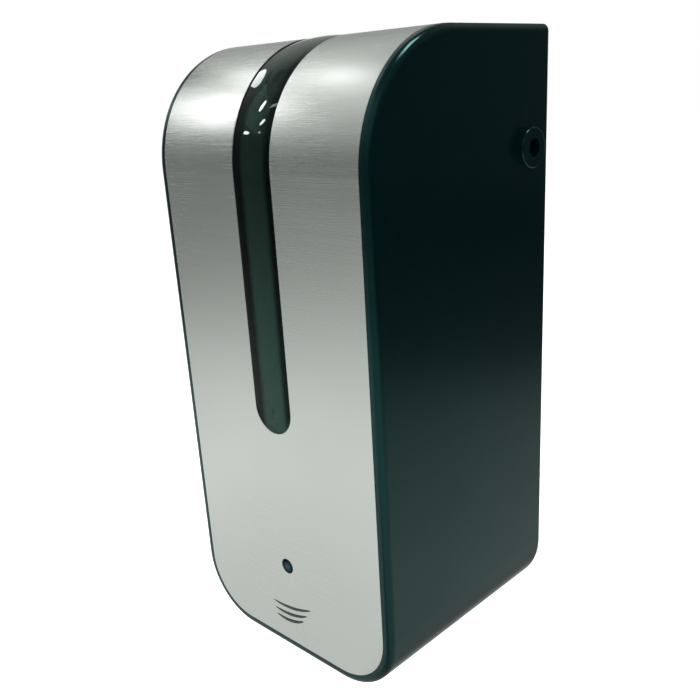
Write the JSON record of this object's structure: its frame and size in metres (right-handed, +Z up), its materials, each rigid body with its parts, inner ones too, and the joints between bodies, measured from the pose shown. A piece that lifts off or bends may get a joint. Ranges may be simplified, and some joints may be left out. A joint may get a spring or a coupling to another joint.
{
  "type": "automatic soap dispenser",
  "caption": "Wall-mounted automatic soap dispenser: hinged black cover with a wrapped steel front and smoked window, over a soap tank, tube pump and batteries.",
  "frame": {"origin": "centre of the four wall screws, on the back face against the wall", "axes": "+Z up, -Y towards the user, +X to the right as seen from the front"},
  "size_m": [0.1255, 0.1115, 0.2654],
  "materials": {
    "cover_black": "satin black moulded ABS",
    "brushed_front": "satin stainless steel, brushed across",
    "smoked_window": "smoked transparent, polished",
    "eye_black": "glossy black",
    "acetal_white": "natural acetal",
    "steel_pin": "bright steel",
    "tank_clear": "milky translucent polypropylene",
    "cap_grey": "grey moulded plastic",
    "seal_rubber": "grey silicone",
    "silicone_tube": "translucent silicone",
    "nozzle_grey": "dark grey plastic",
    "chassis_grey": "dark grey textured ABS",
    "pump_clear": "clear polycarbonate",
    "bronze_bush": "sintered bronze",
    "motor_can": "zinc plated steel can",
    "cell_jacket": "plain cell jacket with a copper band",
    "contact_nickel": "nickel plated spring steel",
    "board_green": "green solder mask with black parts",
    "led_lens": "tinted clear resin",
    "sensor_dark": "infrared passing dark plastic",
    "switch_black": "black nylon",
    "brass_pinion": "cut brass"
  },
  "bodies": {
    "root": {"wall_plate": "cover_black", "soap_tank": "tank_clear", "outlet_cap": "cap_grey", "pump_tube": "silicone_tube", "nozzle": "nozzle_grey", "drive_chassis": "chassis_grey", "chassis_screws": "steel_pin", "pump_race": "chassis_grey", "pump_cover": "pump_clear", "pump_screws": "steel_pin", "rotor_bush": "bronze_bush", "idler_axle": "steel_pin", "gear_motor": "motor_can", "battery_tray": "chassis_grey", "c_cell_1": "cell_jacket", "c_cell_2": "cell_jacket", "c_cell_3": "cell_jacket", "c_cell_4": "cell_jacket", "battery_contacts": "contact_nickel", "electronics_case": "chassis_grey", "control_board": "board_green", "status_led": "led_lens", "sensor_window": "sensor_dark", "sensor_pair": "eye_black", "switch_body": "switch_black"},
    "cover": {"cover_shell": "cover_black", "steel_front": "brushed_front", "level_window": "smoked_window", "eye_lens": "eye_black", "lock_bushing": "cover_black", "latch_pin": "steel_pin", "latch_spring": "steel_pin", "hinge_pins": "steel_pin"},
    "latch": {"latch_lever": "acetal_white"},
    "filler_cap": {"tank_cap": "cap_grey", "cap_seal": "seal_rubber"},
    "rotor": {"roller_carrier": "acetal_white", "rotor_gear": "acetal_white", "rotor_shaft": "steel_pin"},
    "roller_a": {"roller_1": "acetal_white"},
    "roller_b": {"roller_2": "acetal_white"},
    "roller_c": {"roller_3": "acetal_white"},
    "idler": {"idler_gear": "acetal_white"},
    "pinion": {"motor_pinion": "brass_pinion", "motor_shaft": "steel_pin"},
    "door": {"battery_door": "chassis_grey"},
    "switch": {"switch_knob": "acetal_white"}
  },
  "joints": [
    {"name": "cover_hinge", "type": "hinge", "parent": "root", "child": "cover", "pos_m": [0, -0.008, -0.1255], "axis": [1, 0, 0], "range_deg": [0, 90]},
    {"name": "latch_swing", "type": "hinge", "parent": "cover", "child": "latch", "pos_m": [0.0528, -0.026, 0.0855], "axis": [0, 0, 1], "range_deg": [0, 8.5], "stiffness_Nm_per_rad": 0.05, "springref_deg": -5.73, "deforming": ["latch_spring"]},
    {"name": "filler_cap_turn", "type": "hinge", "parent": "root", "child": "filler_cap", "pos_m": [0, -0.04, 0.1155], "axis": [0, 0, 1], "range_deg": [0, 90]},
    {"name": "rotor_spin", "type": "hinge", "parent": "root", "child": "rotor", "pos_m": [0.02, -0.047, -0.0825], "axis": [0, -1, 0], "continuous": true},
    {"name": "roller_a_spin", "type": "hinge", "parent": "rotor", "child": "roller_a", "pos_m": [0.0323, -0.047, -0.0825], "axis": [0, -1, 0], "continuous": true},
    {"name": "roller_b_spin", "type": "hinge", "parent": "rotor", "child": "roller_b", "pos_m": [0.01385, -0.047, -0.07185], "axis": [0, -1, 0], "continuous": true},
    {"name": "roller_c_spin", "type": "hinge", "parent": "rotor", "child": "roller_c", "pos_m": [0.01385, -0.047, -0.09315], "axis": [0, -1, 0], "continuous": true},
    {"name": "idler_spin", "type": "hinge", "parent": "root", "child": "idler", "pos_m": [0.00224, -0.03, -0.07422], "axis": [0, -1, 0], "continuous": true},
    {"name": "pinion_spin", "type": "hinge", "parent": "root", "child": "pinion", "pos_m": [-0.01666, -0.03, -0.07422], "axis": [0, -1, 0], "continuous": true},
    {"name": "battery_door_slide", "type": "slide", "parent": "root", "child": "door", "axis": [-1, 0, 0], "range_m": [0, 0.005]},
    {"name": "power_switch_slide", "type": "slide", "parent": "root", "child": "switch", "axis": [1, 0, 0], "range_m": [0, 0.004]}
  ],
  "couplings": [
    {"joint": "idler_spin", "follows": "rotor_spin", "ratio": -3},
    {"joint": "pinion_spin", "follows": "rotor_spin", "ratio": 10.5},
    {"joint": "roller_a_spin", "follows": "rotor_spin", "ratio": -4},
    {"joint": "roller_b_spin", "follows": "rotor_spin", "ratio": -4},
    {"joint": "roller_c_spin", "follows": "rotor_spin", "ratio": -4}
  ]
}
